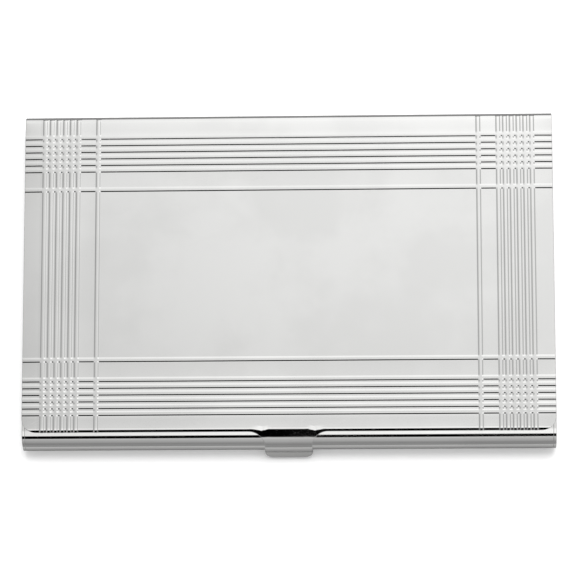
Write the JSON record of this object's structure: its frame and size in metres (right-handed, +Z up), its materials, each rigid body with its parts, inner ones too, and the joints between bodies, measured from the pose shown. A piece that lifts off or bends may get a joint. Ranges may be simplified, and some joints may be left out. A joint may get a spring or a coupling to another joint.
{
  "type": "business card case",
  "caption": "Flat pocket case for business cards in polished sheet metal: a tray with a rolled front edge, and a snap hinged lid with a rolled spine, a stamped plaid border and a thumb tab.",
  "frame": {"origin": "centre of the closed case's underside, in the plane of the surface it lies on", "axes": "+X along the spine, +Y from the thumb tab to the spine, +Z up through the lid"},
  "size_m": [0.094, 0.0617, 0.0071],
  "materials": {
    "polished_nickel": "polished nickel plating with faint handling scratches",
    "satin_steel": "satin plated steel",
    "spring_steel": "bare rolled spring steel"
  },
  "bodies": {
    "base": {"base_tray": "polished_nickel", "end_plate_left": "polished_nickel", "end_plate_right": "polished_nickel", "hinge_pin_left": "satin_steel", "hinge_pin_right": "satin_steel", "leaf_spring": "spring_steel", "spring_rivet_left": "satin_steel", "spring_rivet_right": "satin_steel"},
    "lid": {"lid_cover": "polished_nickel", "hinge_lug_left": "satin_steel", "hinge_lug_right": "satin_steel"}
  },
  "joints": [
    {"name": "lid_hinge", "type": "hinge", "parent": "base", "child": "lid", "pos_m": [0, 0.0265, 0.0035], "axis": [-1, 0, 0], "range_deg": [0, 110], "deforming": ["leaf_spring"]}
  ]
}
